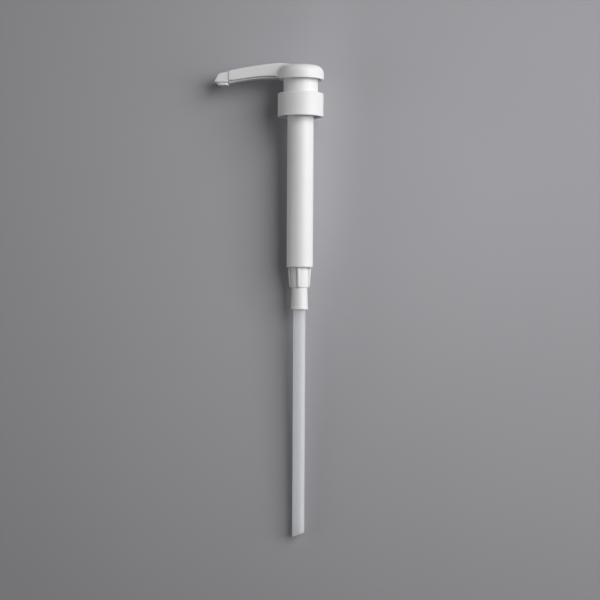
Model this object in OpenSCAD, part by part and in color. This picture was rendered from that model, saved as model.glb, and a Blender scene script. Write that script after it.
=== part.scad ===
// Hand pump for a bottle of syrup, drawn with its head locked down.
// The pump's axis is Z and its spout points along -X. The origin lies on the axis,
// in the plane where the rim of the bottle meets the gasket. Sizes are in millimetres.

/* [Cap] */
// Outside diameter of the thread on the bottle's neck
neck_d = 27.4; // [26:0.1:30]
// Room between that thread and the cap, on the radius
neck_gap = 0.2; // [0.1:0.05:0.5]
// Thickness of the cap's side wall
cap_wall = 1.35; // [1:0.05:2.5]
// Height of the cap
cap_h = 15.7; // [12:0.1:20]
// Thickness of the cap's top
cap_top_t = 1.7; // [1.2:0.1:2.5]
// Rounding of the cap's top edge
cap_edge_r = 0.9; // [0.3:0.1:1.2]
// Thickness of the washer on the bottle's rim
gasket_t = 1.2; // [0.8:0.1:2]

/* [Barrel] */
// Bore of the barrel
bore_d = 15; // [14:0.1:16]
// Thickness of the barrel's wall
barrel_wall = 1.25; // [1:0.05:1.5]
// Length of the barrel below the bottle's rim
barrel_h = 111.7; // [105:0.5:140]
// How far the flange stands out from the barrel
flange_rim = 4; // [3.5:0.1:4.5]
// Thickness of the flange
flange_t = 1.6; // [1.2:0.1:2.5]
// How far the gasket's seat stands out from the barrel
seat_rim = 0.2; // [0.1:0.05:0.2]
// Depth of that seat's end below the bottle's rim
seat_drop = 0.6; // [0.4:0.1:1.5]
// Rounding of the barrel's lower edge
barrel_edge_r = 0.9; // [0.3:0.1:0.9]
// Diameter of the air vent
vent_d = 1.2; // [0.8:0.1:2]
// Depth of the air vent below the bottle's rim
vent_drop = 4; // [2:0.5:6]

/* [Foot valve] */
// Length of the plug that stands in the barrel
foot_plug_h = 6; // [4:0.5:9]
// Number of fins
fin_count = 4; // [3:1:8]
// Thickness of a fin
fin_t = 1.1; // [0.8:0.1:1.6]
// Height of the fins
fin_h = 13.3; // [12:0.1:18]
// How far a fin stands out from the core at its top
fin_top_rim = 1.8; // [1.6:0.05:2.2]
// How far a fin stands out from the core at its foot
fin_foot_rim = 0.9; // [0.6:0.05:1.4]
// Wall round the ball's chamber
core_wall = 1.65; // [1.2:0.05:1.9]
// Height of the dip tube's socket
socket_h = 14.6; // [10:0.1:20]
// Wall of the socket at its top
socket_wall = 1.15; // [1:0.05:1.6]
// How much the socket widens to its mouth, on the radius
socket_flare = 0.4; // [0:0.05:0.8]
// Depth of the socket's bore
socket_bore_h = 12.3; // [8:0.1:13]
// Diameter of the inlet ball
inlet_ball_d = 7; // [6:0.1:7.5]
// Room round the inlet ball, on the radius
inlet_ball_room = 0.7; // [0.4:0.05:0.9]
// Radius of the passage under the inlet ball
inlet_hole_r = 2.2; // [1.6:0.05:2.4]
// Travel of the inlet ball
inlet_lift = 3; // [1:0.1:4]

/* [Dip tube] */
// Outside diameter of the dip tube
dip_d = 8; // [7:0.1:9]
// Wall of the dip tube
dip_wall = 1; // [0.8:0.05:1.4]
// Reach of the dip tube below the bottle's rim
dip_reach = 291.4; // [200:0.5:320]
// Slant of the dip tube's end, in degrees
dip_slant = 20.5; // [0:0.5:45]

/* [Lock collar] */
// Outside diameter of the collar
collar_d = 23; // [22.5:0.1:25]
// Wall of the collar round the lock plug
collar_wall = 1.6; // [1.2:0.05:2]
// Height of collar that shows under the locked head
collar_show = 9; // [7:0.1:12]
// Room between the collar's top and the delivery tube
collar_clear = 0.4; // [0.3:0.05:0.8]
// Height of collar that grips the barrel's neck
collar_grip = 2.2; // [1.8:0.1:3]
// Thickness of the web that carries the guide
web_t = 2.4; // [2:0.1:3]
// Wall of the guide round the stem
guide_wall = 1.5; // [1:0.05:1.8]
// Depth of the guide's end below the bottle's rim
guide_drop = 9; // [6.5:0.5:14]
// Rounding of the collar's top edge
collar_edge_r = 0.4; // [0.2:0.1:0.7]
// Radius of the snap bead between the neck and the collar
bead_r = 0.25; // [0.15:0.05:0.4]
// Height of the wiper seal
wiper_h = 1.3; // [1:0.1:1.5]
// Width of the wiper seal
wiper_w = 1.85; // [1.5:0.05:2.2]

/* [Head] */
// Diameter of the thumb pad
head_d = 30.7; // [30:0.1:34]
// Height of the thumb pad, from its lower rim
head_h = 9.4; // [8.8:0.1:11]
// Rounding of the thumb pad's top edge
head_edge_r = 5.2; // [4:0.1:6.5]
// Wall of the hollow thumb pad
head_wall = 1.8; // [1.4:0.05:2]
// Wall of the lock plug
plug_wall = 1.6; // [1.2:0.05:1.8]
// Wall of the boss that holds the stem
boss_wall = 1.65; // [1.3:0.05:1.9]
// Radius of the outlet ball's chamber
chamber_r = 3.4; // [3:0.05:3.6]
// Diameter of the outlet ball
outlet_ball_d = 5; // [4.6:0.1:5.2]
// Travel of the outlet ball
outlet_lift = 2.5; // [1:0.1:3]

/* [Spout] */
// Reach of the spout from the pump's axis to the nose
spout_reach = 58.3; // [52:0.1:75]
// Width of the arm
spout_w = 10.6; // [9.5:0.1:12]
// Height of the arm under its highest point
spout_h = 7.85; // [7.4:0.05:8.4]
// Wall of the arm
spout_wall = 1.5; // [1.2:0.05:1.7]
// Rounding of the arm's top edges
spout_edge_r = 1.4; // [0.6:0.1:2]
// Distance of the arm's highest point from the pump's axis
crest_x = 11; // [10.5:0.1:13]
// Height of that point above the thumb pad
crest_rise = 1.4; // [1:0.05:1.6]
// Radius of the arm's top line
spout_arc_r = 150; // [130:1:200]
// Radius of the arm's lower line
under_arc_r = 155; // [130:1:220]
// Distance of the lower line's highest point from the pump's axis
under_x = 15.8; // [14:0.1:18]
// Radius of the fillets between the arm and the thumb pad, seen from above
root_fillet_r = 3; // [2:0.5:5]
// Slope of the gusset under the arm's root, in degrees
gusset_slope = 28; // [20:1:40]
// Wall of the delivery tube
tube_wall = 1; // [0.8:0.05:1.2]
// Rounding of the delivery tube's edges
tube_edge_r = 0.8; // [0.3:0.1:0.9]
// How far the delivery tube shows below the arm
tube_show = 0.7; // [0.2:0.05:0.8]
// Length of the nozzle tip along the spout
tip_len = 9.9; // [9:0.1:13]
// Lean of the joint between arm and tip, in degrees
seam_lean = 8; // [0:0.5:12]
// Lean of the nose, in degrees
nose_lean = 27; // [15:0.5:32]
// How far the tip stands in from the arm at its top and sides
tip_step = 0.4; // [0.2:0.05:0.6]
// How far the delivery tube reaches into the tip
tip_lap = 1.6; // [1:0.1:1.8]
// Width of the ledge that stops the delivery tube in the tip
tip_ledge = 0.4; // [0.3:0.05:0.6]
// Bore of the outlet
outlet_d = 4.6; // [3:0.1:4.8]
// Wall of the outlet
outlet_wall = 1.4; // [0.8:0.05:1.5]
// How far the outlet stands below the tip
outlet_drop = 1.6; // [1:0.1:4]
// Wall of the tip under the delivery tube
sole_wall = 0.7; // [0.5:0.05:1.2]

/* [Piston] */
// Stroke of the pump
stroke = 42; // [20:0.5:46]
// Outside diameter of the stem
stem_d = 9; // [8.4:0.1:9.4]
// Wall of the stem
stem_wall = 1.7; // [1.3:0.05:1.9]
// Wall of the stem inside the piston
spigot_wall = 1.2; // [0.9:0.05:1.4]
// Radius of the hole under the outlet ball
outlet_hole_r = 1.7; // [1.2:0.05:1.75]
// Thickness of the stem's stop flange
stop_t = 1.5; // [1:0.1:2.5]
// Height of the piston
piston_h = 9; // [8:0.1:12]
// Thickness of the piston's lips
lip_t = 0.7; // [0.5:0.05:0.9]
// Height of the piston's lips
lip_h = 2.5; // [1.5:0.1:3]
// Thickness of the retaining ring
retainer_t = 2; // [1.5:0.1:3]
// Height of the boss that centres the spring on the retaining ring
retainer_boss_h = 2; // [1:0.1:4]

/* [Spring and cage] */
// Diameter of the spring's wire
wire_d = 1.2; // [0.8:0.05:1.3]
// Number of turns of the spring
spring_turns = 12; // [8:1:16]
// Room between the spring and the barrel, on the radius
spring_room = 0.8; // [0.5:0.05:1]
// Thickness of the cage's rim
cage_rim_t = 1.5; // [1:0.1:2.5]
// Depth of the cage below its rim
cage_drop = 3; // [2:0.1:5]
// Wall of the cage
cage_wall = 1; // [0.8:0.05:1.3]

/* [Clearances] */
// Room between pieces that are pressed together
fit_gap = 0.05; // [0.02:0.01:0.08]
// Room between pieces that slide on each other
slide_gap = 0.06; // [0.03:0.01:0.1]
// Room above and below pieces that turn on each other
turn_gap = 0.1; // [0.05:0.05:0.2]
// Room between the lock plug and the collar
lock_gap = 0.3; // [0.2:0.05:0.4]
// Room between a ball and its seat or stop
ball_gap = 0.1; // [0.05:0.05:0.2]

/* [Hidden] */
$fn = 96;
white = [0.93, 0.93, 0.92];
natural = [0.82, 0.85, 0.86];
steel = [0.72, 0.73, 0.75];
// Overlap that makes two solids one, and reach of a cut past the solid
merge = 0.5;
past = 1;
// Depth to which a fillet's circle runs into what it joins, so that it crosses it
bite = 0.2;

// Radii of the cap, the barrel and the collar
cap_bore_r = neck_d / 2 + neck_gap;
cap_r = cap_bore_r + cap_wall;
bore_r = bore_d / 2;
barrel_r = bore_r + barrel_wall;
seat_r = barrel_r + seat_rim;
flange_r = barrel_r + flange_rim;
cap_hole_r = barrel_r + bead_r + lock_gap;
collar_r = collar_d / 2;
lock_r = collar_r - collar_wall;
plug_r = lock_r - lock_gap;
stem_r = stem_d / 2;
guide_bore_r = stem_r + slide_gap;
guide_r = guide_bore_r + guide_wall;
wiper_r = stem_r + wiper_w;
boss_r = stem_r + boss_wall;

// Heights from the bottle's rim up to the top of the thumb pad
flange_top = gasket_t + flange_t;
cap_ceiling = flange_top + turn_gap;
cap_top = cap_ceiling + cap_top_t;
cap_bottom = cap_top - cap_h;
collar_bottom = cap_top + turn_gap;
neck_top = collar_bottom + collar_grip;
bead_z = collar_bottom + collar_grip / 2;
web_top = neck_top + web_t;
head_bottom = cap_top + collar_show;
head_top = head_bottom + head_h;
head_ceiling = head_top - head_wall;
plug_bottom = web_top + lock_gap;

// Arm: its top line, its lower line and the pieces inside it
head_r = head_d / 2;
crest_z = head_top + crest_rise;
arc_z = crest_z - spout_arc_r;
under_z = crest_z - spout_h - under_arc_r;
form_h = spout_h + head_h;
tube_inset = spout_wall + fit_gap;
duct_inset = tube_inset + tube_wall;
duct_low = tube_show - tube_wall;
seam_x = spout_reach - tip_len;
seam_z = (arm_top(seam_x) + arm_low(seam_x)) / 2;
tube_root_x = chamber_r + merge;
tube_end_x = seam_x + tip_lap;
sole_z = arm_low(tube_end_x) - tube_show - fit_gap - sole_wall;
outlet_r = outlet_d / 2;
outlet_x = tube_end_x + tip_ledge + outlet_r;
collar_top = arm_low(lock_r) - tube_show - collar_clear;
// Where the arm starts, just under the top of the thumb pad, and where its open channel starts
arm_start_x = crest_x - sqrt(2 * spout_arc_r * (crest_rise + fit_gap));
channel_start_x = (collar_r + head_r - head_wall) / 2;
// Where the gusset under the arm comes down to the rim of the thumb pad
gusset_x = sqrt(pow(head_r, 2) - pow(spout_w / 2, 2)) - merge;
fillet_reach = head_r + root_fillet_r - bite;
fillet_y = spout_w / 2 + root_fillet_r - bite;
fillet_x = sqrt(pow(fillet_reach, 2) - pow(fillet_y, 2));

// Outlet valve at the top of the stem
stem_top = arm_low(boss_r) - tube_show - fit_gap - boss_wall / 2;
outlet_ball_r = outlet_ball_d / 2;
outlet_ball_z = stem_top - (chamber_r - outlet_hole_r) - outlet_hole_r
    + outlet_ball_r * sqrt(2) + ball_gap;
chamber_top = outlet_ball_z + outlet_ball_r + outlet_lift + ball_gap;

// Piston, hung under the stem's stop flange at the bottom of its stroke
spigot_r = stem_r - stem_wall + spigot_wall;
stem_bore_r = stem_r - stem_wall;
stop_top = -guide_drop - turn_gap - stroke;
piston_top = stop_top - stop_t - turn_gap;
piston_bottom = piston_top - piston_h;
retainer_top = piston_bottom - turn_gap;
retainer_bottom = retainer_top - retainer_t;
lip_r = bore_r - slide_gap;
spring_r = bore_r - spring_room - wire_d / 2;
retainer_r = spring_r + wire_d / 2;
spring_inner_r = spring_r - wire_d / 2;

// Foot valve, from its plug in the barrel down to the mouth of the socket
foot_plug_top = foot_plug_h - barrel_h;
fin_foot = -barrel_h - fin_h;
socket_mouth = fin_foot - socket_h;
socket_end = socket_mouth + socket_bore_h;
inlet_ball_r = inlet_ball_d / 2;
inlet_chamber_r = inlet_ball_r + inlet_ball_room;
core_r = inlet_chamber_r + core_wall;
dip_r = dip_d / 2;
socket_top_r = dip_r + fit_gap + socket_wall;
cage_top = foot_plug_top + cage_rim_t;
cage_foot = foot_plug_top - cage_drop;
inlet_ball_z = cage_foot - ball_gap - inlet_lift - inlet_ball_r;
seat_foot = inlet_ball_z - ball_gap - inlet_ball_r * sqrt(2) + inlet_hole_r;
seat_top = seat_foot + inlet_chamber_r - inlet_hole_r;

// Spring: end turns lie close together and the turns between them share the rest
spring_foot = cage_top + wire_d / 2 + turn_gap;
spring_head = retainer_bottom - wire_d / 2 - turn_gap;
end_pitch = wire_d + merge;
mid_pitch = (spring_head - spring_foot - 2 * end_pitch) / (spring_turns - 2);
spring_steps = 16;
spring_sides = 6;

// Heights of the arm's top and lower lines at a distance from the pump's axis
function arm_top(x) = arc_z + sqrt(pow(spout_arc_r, 2) - pow(x - crest_x, 2));
function arm_low(x) = under_z + sqrt(pow(under_arc_r, 2) - pow(x - under_x, 2));

// Height of the spring's wire after a number of turns
function spring_z(t) =
    t < 1 ? spring_foot + t * end_pitch
    : t > spring_turns - 1 ? spring_head - (spring_turns - t) * end_pitch
    : spring_foot + end_pitch + (t - 1) * mid_pitch;
// Point of the wire's skin after a number of turns, at an angle round the wire
function spring_point(t, a) =
    let (r = spring_r + wire_d / 2 * cos(a))
    [r * cos(360 * t), r * sin(360 * t), spring_z(t) + wire_d / 2 * sin(a)];

// Convex corner of a profile, made round: corner at the upper right of what is cut
module corner_cut(x, y, r) {
    translate([x - r, y - r]) difference() {
        square(2 * r);
        circle(r);
    }
}

// Band of a profile between two radii and two heights
module band(r_in, r_out, z_low, z_high) {
    translate([r_in, z_low]) square([r_out - r_in, z_high - z_low]);
}

// Bar with rounded top edges, bent along the arm's top line and moved in from it by a wall
module bent_bar(inset) {
    r = spout_arc_r - inset;
    half_w = spout_w / 2 - inset;
    edge_r = max(spout_edge_r - inset, tube_edge_r);
    half_angle = asin((spout_reach + form_h) / r);
    translate([-crest_x, 0, arc_z]) rotate([90, 0, 0]) rotate([0, 0, 90 - half_angle])
        rotate_extrude(angle = 2 * half_angle) difference() {
            translate([r - 2 * form_h, -half_w]) square([2 * form_h, 2 * half_w]);
            for (side = [0, 1]) mirror([0, side]) corner_cut(r, half_w, edge_r);
        }
}

// Space under the arm's lower line, with that line moved down by a drop
module under_arm(drop) {
    translate([-under_x, 0, under_z - drop]) rotate([90, 0, 0])
        cylinder(h = 4 * spout_w, r = under_arc_r, center = true);
}

// Arm between two distances from the pump's axis, moved in by a wall at its top and sides.
// Its lower line is moved down by a drop.
module arm_form(from_x, to_x, inset, drop) {
    difference() {
        intersection() {
            bent_bar(inset);
            translate([-to_x, -spout_w, head_bottom - form_h])
                cube([to_x - from_x, 2 * spout_w, 3 * form_h]);
        }
        under_arm(drop);
    }
}

// Everything further out than a leaning plane across the spout
module beyond(x, z, lean) {
    translate([-x, 0, z]) rotate([0, lean, 0]) translate([-2 * spout_reach, -spout_reach, -spout_reach])
        cube([2 * spout_reach, 2 * spout_reach, 2 * spout_reach]);
}

// Solid of the thumb pad, moved in by a wall
module pad_solid(inset, low) {
    rotate_extrude() difference() {
        band(0, head_r - inset, low, head_top - inset);
        corner_cut(head_r - inset, head_top - inset, head_edge_r - inset);
    }
}

// Fillets between the sides of the arm and the thumb pad, down to the pad's rim
module root_fillets() {
    fillet_top = arm_top(fillet_x) - spout_edge_r;
    pad_edge = head_top - head_edge_r;
    touch = (head_r - merge) / fillet_reach;
    ridge_y = spout_w / 2 - merge;
    difference() {
        translate([0, 0, head_bottom]) linear_extrude(fillet_top - head_bottom)
            for (side = [0, 1]) mirror([0, side]) difference() {
                polygon([
                    [-fillet_x, 0], [-fillet_x, fillet_y], [-fillet_x * touch, fillet_y * touch],
                    [-gusset_x + merge, 0]
                ]);
                translate([-fillet_x, fillet_y]) circle(root_fillet_r);
            }
        for (side = [0, 1]) mirror([0, side]) translate([0, ridge_y, fillet_top])
            rotate([-atan2(fillet_top - pad_edge, fillet_y * touch - ridge_y), 0, 0])
            translate([-spout_reach, 0, 0]) cube([spout_reach, spout_reach, spout_reach]);
    }
}

// Outside of the thumb pad and the arm, with the gusset under the arm's root
module head_form() {
    difference() {
        union() {
            pad_solid(0, head_bottom);
            arm_form(arm_start_x, spout_reach, 0, form_h);
            root_fillets();
        }
        intersection() {
            under_arm(0);
            beyond(gusset_x, head_bottom, gusset_slope - 90);
        }
        translate([-2 * spout_reach, -spout_reach, head_bottom - form_h])
            cube([3 * spout_reach, 2 * spout_reach, form_h]);
    }
}

module actuator_head() {
    color(white) difference() {
        union() {
            difference() {
                head_form();
                pad_solid(head_wall, head_bottom - past);
            }
            rotate_extrude() {
                band(plug_r - plug_wall, plug_r, plug_bottom, head_ceiling + merge);
                band(0, boss_r, plug_bottom, head_ceiling + merge);
            }
        }
        rotate_extrude() {
            band(0, stem_r + fit_gap, plug_bottom - past, stem_top);
            band(0, chamber_r, stem_top - past, chamber_top);
        }
        arm_form(chamber_r - merge, tube_root_x + merge, duct_inset, duct_low);
        arm_form(tube_root_x - fit_gap, channel_start_x + merge, spout_wall, tube_show + fit_gap);
        arm_form(channel_start_x, spout_reach, spout_wall, form_h);
        beyond(seam_x, seam_z, seam_lean);
    }
}

module spout_tube() {
    color(white) difference() {
        arm_form(tube_root_x, tube_end_x, tube_inset, tube_show);
        arm_form(tube_root_x - past, tube_end_x + past, duct_inset, duct_low);
    }
}

module nozzle_tip() {
    outlet_foot = sole_z - outlet_drop;
    color(white) difference() {
        union() {
            intersection() {
                arm_form(seam_x - tip_lap, spout_reach, tip_step, form_h);
                beyond(seam_x + turn_gap, seam_z, seam_lean);
                translate([-2 * spout_reach, -spout_reach, sole_z])
                    cube([2 * spout_reach, 2 * spout_reach, spout_reach]);
            }
            translate([-outlet_x, 0, outlet_foot])
                cylinder(h = seam_z - outlet_foot, r = outlet_r + outlet_wall);
        }
        beyond(spout_reach, sole_z, nose_lean);
        arm_form(seam_x - tip_lap, tube_end_x + fit_gap, spout_wall, tube_show + fit_gap);
        arm_form(tube_end_x, outlet_x + outlet_r, duct_inset, duct_low);
        translate([-outlet_x, 0, outlet_foot - past])
            cylinder(h = seam_z - outlet_foot, r = outlet_r);
    }
}

module piston_stem() {
    seat_low = stem_top - (chamber_r - outlet_hole_r);
    throat_low = seat_low - stem_wall;
    color(white) rotate_extrude() difference() {
        union() {
            band(0, stem_r, stop_top - stop_t, stem_top);
            band(0, guide_r, stop_top - stop_t, stop_top);
            band(0, spigot_r, retainer_bottom - retainer_boss_h, stop_top);
        }
        polygon([
            [0, stem_top + past], [chamber_r, stem_top + past], [chamber_r, stem_top],
            [outlet_hole_r, seat_low], [outlet_hole_r, throat_low], [stem_bore_r, throat_low - stem_wall],
            [stem_bore_r, retainer_bottom - retainer_boss_h - past],
            [0, retainer_bottom - retainer_boss_h - past]
        ]);
    }
}

module outlet_ball() {
    color(steel) translate([0, 0, outlet_ball_z]) sphere(outlet_ball_r);
}

module piston() {
    hub_r = guide_r - lip_t;
    color(natural) rotate_extrude() difference() {
        band(spigot_r + fit_gap, lip_r, piston_bottom, piston_top);
        for (end = [0, 1]) translate([0, (piston_top + piston_bottom) / 2]) mirror([0, end])
            polygon([
                [hub_r, piston_h], [hub_r, piston_h / 2 - lip_h],
                [lip_r - 1.5 * lip_t, piston_h / 2 - lip_h], [lip_r - lip_t, piston_h / 2],
                [lip_r - lip_t, piston_h]
            ]);
        polygon([
            [lip_r + past, piston_top - lip_t], [lip_r, piston_top - lip_t],
            [lip_r - lip_t, piston_top - lip_h], [lip_r - lip_t, piston_bottom + lip_h],
            [lip_r, piston_bottom + lip_t], [lip_r + past, piston_bottom + lip_t]
        ]);
    }
}

module piston_retainer() {
    color(white) rotate_extrude() {
        band(spigot_r + fit_gap, retainer_r, retainer_bottom, retainer_top);
        band(spigot_r + fit_gap, spring_inner_r - lock_gap, retainer_bottom - retainer_boss_h,
            retainer_top);
    }
}

module return_spring() {
    rings = spring_turns * spring_steps;
    points = [
        for (i = [0:rings]) for (k = [0:spring_sides - 1])
            spring_point(i / spring_steps, 360 * k / spring_sides)
    ];
    sides = [
        for (i = [0:rings - 1]) for (k = [0:spring_sides - 1])
            let (
                a = i * spring_sides + k,
                b = i * spring_sides + (k + 1) % spring_sides
            )
            each [[a, a + spring_sides, b], [b, a + spring_sides, b + spring_sides]]
    ];
    ends = [
        for (k = [1:spring_sides - 2])
            each [
                [0, k, k + 1],
                [rings * spring_sides, rings * spring_sides + k + 1, rings * spring_sides + k]
            ]
    ];
    self_gap = min([
        for (i = [0:rings - spring_steps])
            spring_z((i + spring_steps) / spring_steps) - spring_z(i / spring_steps)
    ]) - wire_d;
    echo(least_gap_between_turns_mm = self_gap);
    color(steel) polyhedron(points, concat(sides, ends));
}

module lock_collar() {
    color(white) rotate_extrude() difference() {
        union() {
            band(barrel_r + fit_gap, collar_r, collar_bottom, neck_top);
            band(guide_bore_r, collar_r, neck_top, web_top);
            band(lock_r, collar_r, web_top, collar_top);
            band(guide_bore_r, guide_r, -guide_drop, web_top);
        }
        band(0, wiper_r + fit_gap, web_top - wiper_h, web_top + past);
        corner_cut(collar_r, collar_top, collar_edge_r);
        translate([barrel_r, bead_z]) circle(bead_r + fit_gap);
    }
}

module stem_wiper() {
    low = web_top - wiper_h;
    mid_r = stem_r + wiper_w / 2;
    color(natural) rotate_extrude() difference() {
        band(guide_bore_r, wiper_r, low, web_top);
        polygon([
            [mid_r - wiper_w / 4, web_top], [mid_r, low + wiper_h / 2], [mid_r + wiper_w / 4, web_top],
            [mid_r, web_top + past]
        ]);
    }
}

module screw_cap() {
    color(white) rotate_extrude() difference() {
        union() {
            band(cap_bore_r, cap_r, cap_bottom, cap_top);
            band(cap_hole_r, cap_r, cap_ceiling, cap_top);
        }
        corner_cut(cap_r, cap_top, cap_edge_r);
        mirror([0, 1]) corner_cut(cap_r, -cap_bottom, cap_wall / 3);
    }
}

module neck_gasket() {
    color(natural) rotate_extrude() band(seat_r + fit_gap, flange_r, 0, gasket_t);
}

module barrel() {
    color(white) difference() {
        rotate_extrude() difference() {
            union() {
                band(bore_r, barrel_r, -barrel_h, neck_top);
                band(bore_r, seat_r, -seat_drop, flange_top);
                band(bore_r, flange_r, gasket_t, flange_top);
                translate([barrel_r, bead_z]) circle(bead_r);
            }
            mirror([0, 1]) corner_cut(barrel_r, barrel_h, barrel_edge_r);
        }
        translate([0, 0, -vent_drop]) rotate([0, 90, 0]) cylinder(h = 2 * barrel_r, r = vent_d / 2);
    }
}

// One fin of the foot valve, with its lower corner cut back to the core
module fin() {
    corner = fin_foot_rim;
    rotate([90, 0, 0]) linear_extrude(fin_t, center = true) difference() {
        polygon([
            [core_r - merge, -barrel_h], [core_r + fin_top_rim, -barrel_h],
            [core_r + fin_foot_rim, fin_foot], [core_r - merge, fin_foot]
        ]);
        mirror([0, 1]) corner_cut(core_r + corner, -fin_foot, corner);
    }
}

module foot_valve() {
    color(white) union() {
        rotate_extrude() difference() {
            union() {
                band(0, bore_r - fit_gap, -barrel_h, foot_plug_top);
                band(0, core_r, fin_foot, foot_plug_top);
                polygon([
                    [0, fin_foot + merge], [socket_top_r, fin_foot + merge],
                    [socket_top_r + socket_flare, socket_mouth], [0, socket_mouth]
                ]);
            }
            polygon([
                [0, foot_plug_top + past], [inlet_chamber_r, foot_plug_top + past],
                [inlet_chamber_r, seat_top], [inlet_hole_r, seat_foot], [inlet_hole_r, socket_end],
                [dip_r + fit_gap, socket_end], [dip_r + fit_gap, socket_mouth - past],
                [0, socket_mouth - past]
            ]);
            mirror([0, 1]) corner_cut(socket_top_r + socket_flare, -socket_mouth, socket_wall / 2);
        }
        for (i = [0:fin_count - 1]) rotate([0, 0, 360 * i / fin_count]) fin();
    }
}

module ball_cage() {
    ring_r = inlet_chamber_r - fit_gap;
    color(natural) union() {
        rotate_extrude() {
            band(ring_r - cage_wall, bore_r - slide_gap, foot_plug_top, cage_top);
            band(ring_r - cage_wall, ring_r, cage_foot, cage_top);
        }
        for (turn = [0, 90]) rotate([0, 0, turn]) translate([0, 0, cage_foot + cage_wall / 2])
            cube([2 * ring_r - cage_wall, cage_wall, cage_wall], center = true);
    }
}

module inlet_ball() {
    color(steel) translate([0, 0, inlet_ball_z]) sphere(inlet_ball_r);
}

module dip_tube() {
    top = socket_end - turn_gap;
    color(natural) difference() {
        translate([0, 0, -dip_reach]) cylinder(h = top + dip_reach, r = dip_r);
        translate([0, 0, -dip_reach - past])
            cylinder(h = top + dip_reach + 2 * past, r = dip_r - dip_wall);
        translate([-dip_r, 0, -dip_reach]) rotate([0, -dip_slant, 0])
            translate([-dip_d, -dip_d, -dip_d]) cube([3 * dip_d, 2 * dip_d, dip_d]);
    }
}

actuator_head();
spout_tube();
nozzle_tip();
piston_stem();
outlet_ball();
piston();
piston_retainer();
return_spring();
lock_collar();
stem_wiper();
screw_cap();
neck_gasket();
barrel();
foot_valve();
ball_cage();
inlet_ball();
dip_tube();
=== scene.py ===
"""Looks of a hand pump for a syrup bottle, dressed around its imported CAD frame."""

import logging
import math
from dataclasses import dataclass, field
from enum import Enum
from typing import Callable, Sequence

import bmesh
import bpy
import numpy as np
from mathutils import Matrix, Vector


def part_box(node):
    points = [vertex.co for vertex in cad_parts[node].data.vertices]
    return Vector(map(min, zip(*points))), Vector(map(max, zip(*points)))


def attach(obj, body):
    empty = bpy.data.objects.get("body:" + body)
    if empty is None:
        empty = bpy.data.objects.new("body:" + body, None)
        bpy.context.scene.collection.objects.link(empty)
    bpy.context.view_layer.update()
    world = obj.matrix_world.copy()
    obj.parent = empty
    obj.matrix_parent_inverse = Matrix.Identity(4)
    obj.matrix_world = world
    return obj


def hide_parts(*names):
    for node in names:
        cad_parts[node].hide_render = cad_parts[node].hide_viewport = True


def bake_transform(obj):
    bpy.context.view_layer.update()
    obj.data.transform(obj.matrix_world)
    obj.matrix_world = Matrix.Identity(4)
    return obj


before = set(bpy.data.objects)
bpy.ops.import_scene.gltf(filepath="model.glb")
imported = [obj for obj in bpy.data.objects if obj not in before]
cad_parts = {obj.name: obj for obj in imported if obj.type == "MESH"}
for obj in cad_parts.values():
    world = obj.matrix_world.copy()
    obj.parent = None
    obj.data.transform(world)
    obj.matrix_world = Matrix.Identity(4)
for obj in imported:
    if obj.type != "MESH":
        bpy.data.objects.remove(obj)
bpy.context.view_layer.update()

MM = 0.001
FULL_TURN = 2.0 * math.pi
LOG = logging.getLogger("syrup_pump")

# Radii of the small edges that all pieces share, in mm
SHARP = 0.0
FINE = 0.1
THIN = 0.15
SMALL = 0.2
MILD = 0.25
SOFT = 0.3
FULL = 0.35
BROAD = 0.4
WIDE = 0.5

# Rise of the lock thread in a turn, in mm, and steepness of its flanks
LOCK_LEAD = 2.4
LOCK_STEEP = 5.0

# Meshing of a field: rounds of settling, probe and longest move as shares of a grid step, least squared slope
SETTLE_ROUNDS = 3
PROBE_SHARE = 0.02
MOVE_SHARE = 0.4
LEAST_POWER = 0.2
TINY_MOVE = 1e-9

# Distances below which points are one, in metres for meshes and in mm for profiles
SAME_SPOT = 1e-7
SAME_FIN_SPOT = 1e-6
SAME_RADIUS = 1e-6

# Least share of a swept section at its ends, and steps in a fin's round corner
SWEEP_END = 0.2
FIN_CORNER_STEPS = 6

# Noise of the worked surfaces
CLOUD_SCALE = 55.0
CLOUD_DETAIL = 4.0
GRAIN_DETAIL = 5.0
NOISE_MIDDLE = 0.5

Grid = np.ndarray
Spots = Sequence[Grid]
Field = Callable[[Spots], Grid]
Triple = tuple[float, float, float]
Material = bpy.types.Material
Piece = bpy.types.Object
Socket = bpy.types.NodeSocket
Node = bpy.types.Node
Feeds = dict[str | int, object]


class Body(str, Enum):
    """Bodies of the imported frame."""

    HOUSING = "housing"
    CLOSURE = "closure"
    SEAL = "seal"
    HEAD = "head"


class Slot(str, Enum):
    """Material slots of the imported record."""

    WHITE = "white_plastic"
    NATURAL = "natural_plastic"
    RUBBER = "seal"
    STEEL = "steel"
    TUBE = "clear_tube"


# Sizes from the frame


def low(node: str) -> Vector:
    """Give the lowest corner of a CAD node, in mm."""
    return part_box(node)[0] / MM


def high(node: str) -> Vector:
    """Give the highest corner of a CAD node, in mm."""
    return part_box(node)[1] / MM


# Signed distances


def soft_max(a: Grid, b: Grid, reach: float) -> Grid:
    """Keep what two nearly parallel skins share, flowing together over a reach in mm."""
    near = np.maximum(reach - np.abs(a - b), 0.0) / reach
    return np.maximum(a, b) + near * near * reach / 4.0


def common(a: Grid, b: Grid, edge: float) -> Grid:
    """Keep what two forms share, with an outer edge of the given radius in mm."""
    outer = np.hypot(np.maximum(a + edge, 0.0), np.maximum(b + edge, 0.0))
    return np.minimum(np.maximum(a, b), -edge) + outer


def merged(a: Grid, b: Grid, fillet: float) -> Grid:
    """Add two forms, with a hollow fillet of the given radius in mm."""
    return -common(-a, -b, fillet)


def carved(a: Grid, b: Grid, edge: float) -> Grid:
    """Take the second form out of the first, with an edge of the given radius in mm."""
    return common(a, -b, edge)


def between(value: Grid, least: float, most: float) -> Grid:
    """Give the signed distance to a slab between two planes."""
    return np.maximum(least - value, value - most)


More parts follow.
